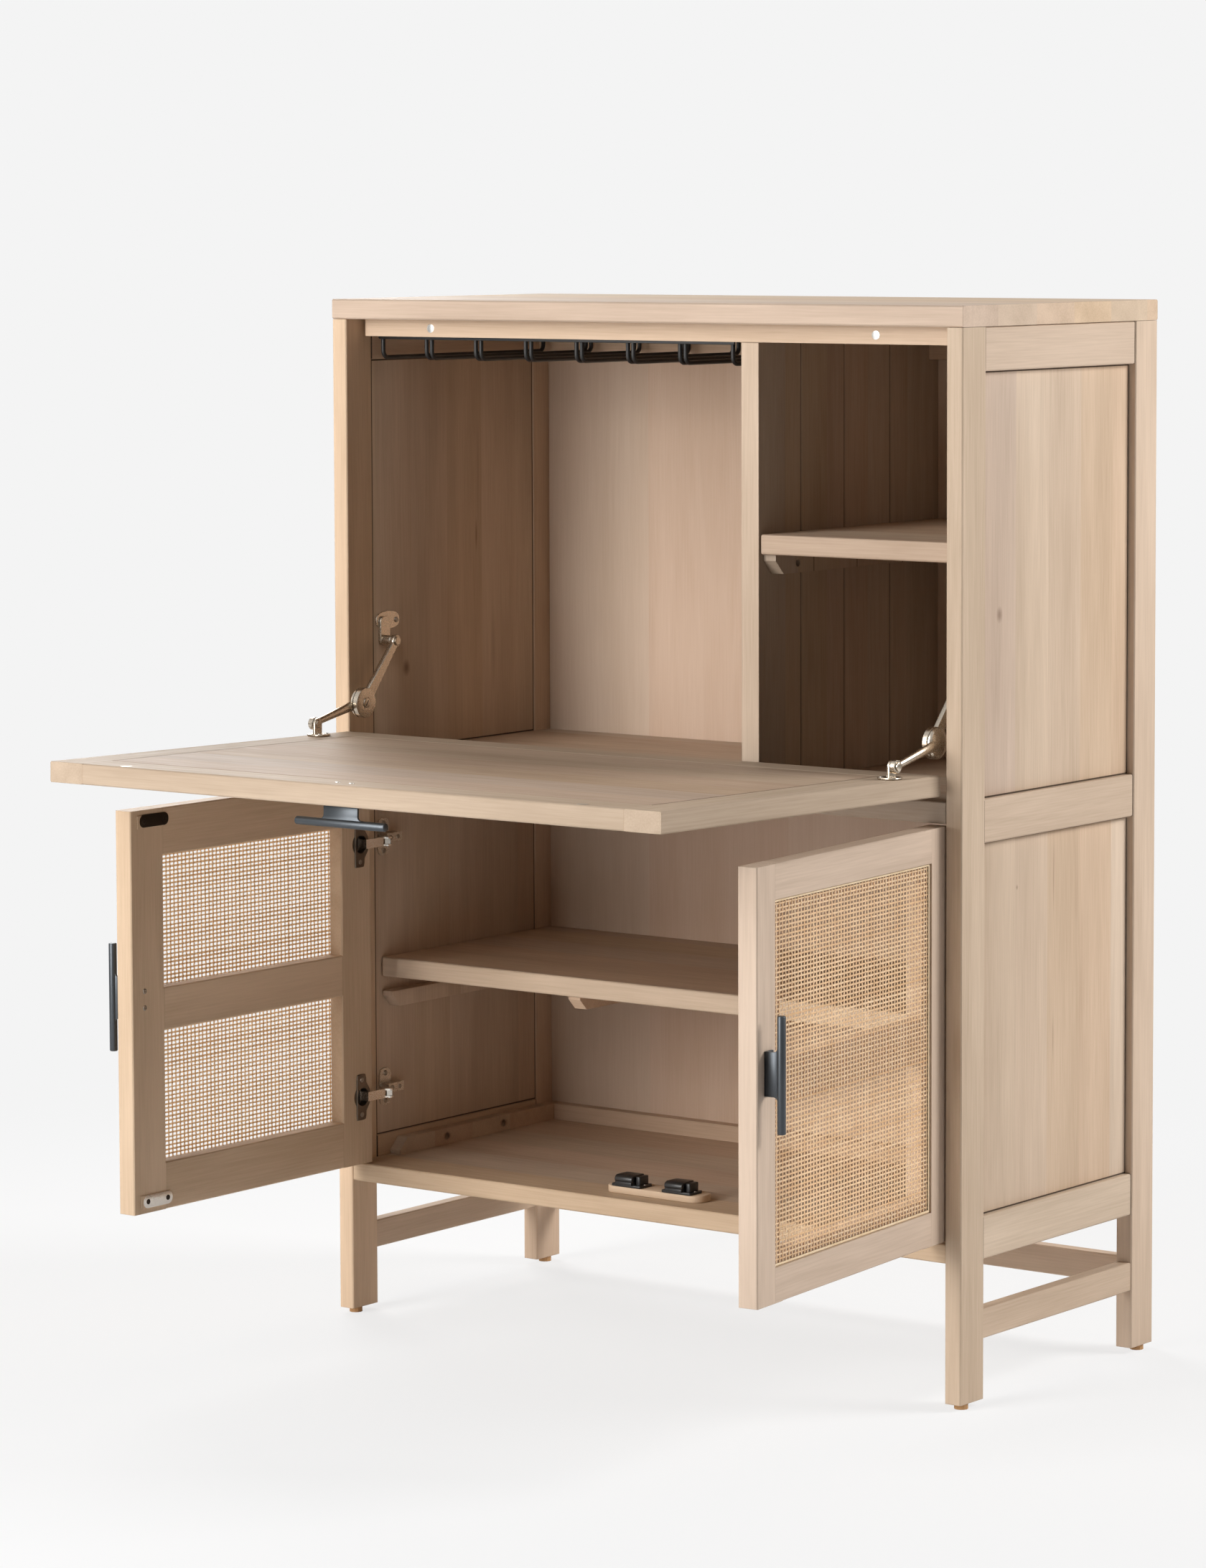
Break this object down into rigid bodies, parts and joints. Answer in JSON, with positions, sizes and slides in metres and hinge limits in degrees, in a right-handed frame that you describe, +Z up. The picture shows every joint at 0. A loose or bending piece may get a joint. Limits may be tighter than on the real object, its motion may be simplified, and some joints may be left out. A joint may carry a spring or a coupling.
{
  "type": "bar cabinet",
  "caption": "Tall wooden bar cabinet on straight legs, with woven cane doors below and a fold-out shelf above that hides bottle shelves and a hanging rack for stemmed glasses.",
  "frame": {"origin": "on the floor, at the middle of the ground covered by the cabinet with its doors and flap open", "axes": "+Z up from the floor to the top, +X across the width to the right as seen from the front, +Y from the front to the back"},
  "size_m": [1.0708, 1.0656, 1.397],
  "materials": {
    "wood": "light ash or oak, clear satin varnish",
    "cane": "open square-woven cane webbing",
    "gunmetal": "satin dark grey",
    "nickel": "satin nickel plate",
    "black_wire": "black powder coat",
    "black_plastic": "moulded, satin black"
  },
  "bodies": {
    "cabinet": {"back_panel": "wood", "divider": "wood", "flap_hinge_shelf_leaf": "nickel", "floor_board": "wood", "left_bottom_rail": "wood", "left_lower_hinge_arm": "nickel", "left_lower_panel": "wood", "left_mid_rail": "wood", "left_stay_wall_bracket": "nickel", "left_stretcher": "wood", "left_upper_hinge_arm": "nickel", "left_upper_panel": "wood", "left_upper_rail": "wood", "lower_door_catch": "black_plastic", "lower_shelf": "wood", "mid_shelf": "wood", "post_front_left": "wood", "post_front_right": "wood", "post_rear_left": "wood", "post_rear_right": "wood", "rear_stretcher": "wood", "right_bottom_rail": "wood", "right_lower_hinge_arm": "nickel", "right_lower_panel": "wood", "right_mid_rail": "wood", "right_shelf": "wood", "right_stay_wall_bracket": "nickel", "right_stretcher": "wood", "right_upper_hinge_arm": "nickel", "right_upper_panel": "wood", "right_upper_rail": "wood", "stemware_rack": "black_wire", "top_front_rail": "wood", "top_rear_rail": "wood", "top_slab": "wood", "upper_door_catch": "black_plastic"},
    "left_door": {"left_door_frame": "wood", "left_door_cane": "cane", "left_door_handle": "gunmetal", "left_lower_hinge_cup": "nickel", "left_upper_hinge_cup": "nickel"},
    "left_hinge_links": {"left_lower_hinge_link": "nickel", "left_upper_hinge_link": "nickel"},
    "right_door": {"right_door_frame": "wood", "right_door_cane": "cane", "right_door_handle": "gunmetal", "right_lower_hinge_cup": "nickel", "right_upper_hinge_cup": "nickel"},
    "right_hinge_links": {"right_lower_hinge_link": "nickel", "right_upper_hinge_link": "nickel"},
    "flap": {"flap_frame": "wood", "flap_panel": "wood", "flap_handle": "gunmetal", "flap_hinge_flap_leaf": "nickel", "left_stay_flap_bracket": "nickel", "right_stay_flap_bracket": "nickel"},
    "left_stay_upper_arm": {"left_stay_upper_arm": "nickel"},
    "left_stay_lower_arm": {"left_stay_lower_arm": "nickel"},
    "right_stay_upper_arm": {"right_stay_upper_arm": "nickel"},
    "right_stay_lower_arm": {"right_stay_lower_arm": "nickel"}
  },
  "joints": [
    {"name": "left_door_hinge", "type": "hinge", "parent": "cabinet", "child": "left_door", "pos_m": [-0.4979, 0.06984, 0.47965], "axis": [0, 0, 1], "range_deg": [0, 90.53]},
    {"name": "right_door_hinge", "type": "hinge", "parent": "cabinet", "child": "right_door", "pos_m": [0.4589, 0.06984, 0.47965], "axis": [0, 0, -1], "range_deg": [0, 95.42]},
    {"name": "left_hinge_link_pivot", "type": "hinge", "parent": "cabinet", "child": "left_hinge_links", "pos_m": [-0.4685, 0.10084, 0.47965], "axis": [0, 0, 1], "range_deg": [0, 90.54]},
    {"name": "right_hinge_link_pivot", "type": "hinge", "parent": "cabinet", "child": "right_hinge_links", "pos_m": [0.4295, 0.10084, 0.47965], "axis": [0, 0, -1], "range_deg": [0, 95.43]},
    {"name": "flap_hinge", "type": "hinge", "parent": "cabinet", "child": "flap", "pos_m": [-0.0195, 0.05834, 0.7756], "axis": [-1, 0, 0], "range_deg": [0, 88.94]},
    {"name": "left_stay_wall_pivot", "type": "hinge", "parent": "cabinet", "child": "left_stay_upper_arm", "pos_m": [-0.4825, 0.13784, 0.928], "axis": [1, 0, 0], "range_deg": [0, 81.06]},
    {"name": "left_stay_flap_pivot", "type": "hinge", "parent": "flap", "child": "left_stay_lower_arm", "pos_m": [-0.4911, -0.02612, 0.82697], "axis": [1, 0, 0], "range_deg": [0, 69.82]},
    {"name": "right_stay_wall_pivot", "type": "hinge", "parent": "cabinet", "child": "right_stay_upper_arm", "pos_m": [0.4435, 0.13784, 0.928], "axis": [1, 0, 0], "range_deg": [0, 81.06]},
    {"name": "right_stay_flap_pivot", "type": "hinge", "parent": "flap", "child": "right_stay_lower_arm", "pos_m": [0.4521, -0.02612, 0.82697], "axis": [1, 0, 0], "range_deg": [0, 69.82]}
  ],
  "couplings": [
    {"joint": "left_hinge_link_pivot", "follows": "left_door_hinge", "ratio": 1},
    {"joint": "right_hinge_link_pivot", "follows": "right_door_hinge", "ratio": 1},
    {"joint": "left_stay_wall_pivot", "follows": "flap_hinge", "ratio": 0.91138},
    {"joint": "left_stay_flap_pivot", "follows": "flap_hinge", "ratio": 0.78495},
    {"joint": "right_stay_wall_pivot", "follows": "flap_hinge", "ratio": 0.91138},
    {"joint": "right_stay_flap_pivot", "follows": "flap_hinge", "ratio": 0.78495}
  ]
}
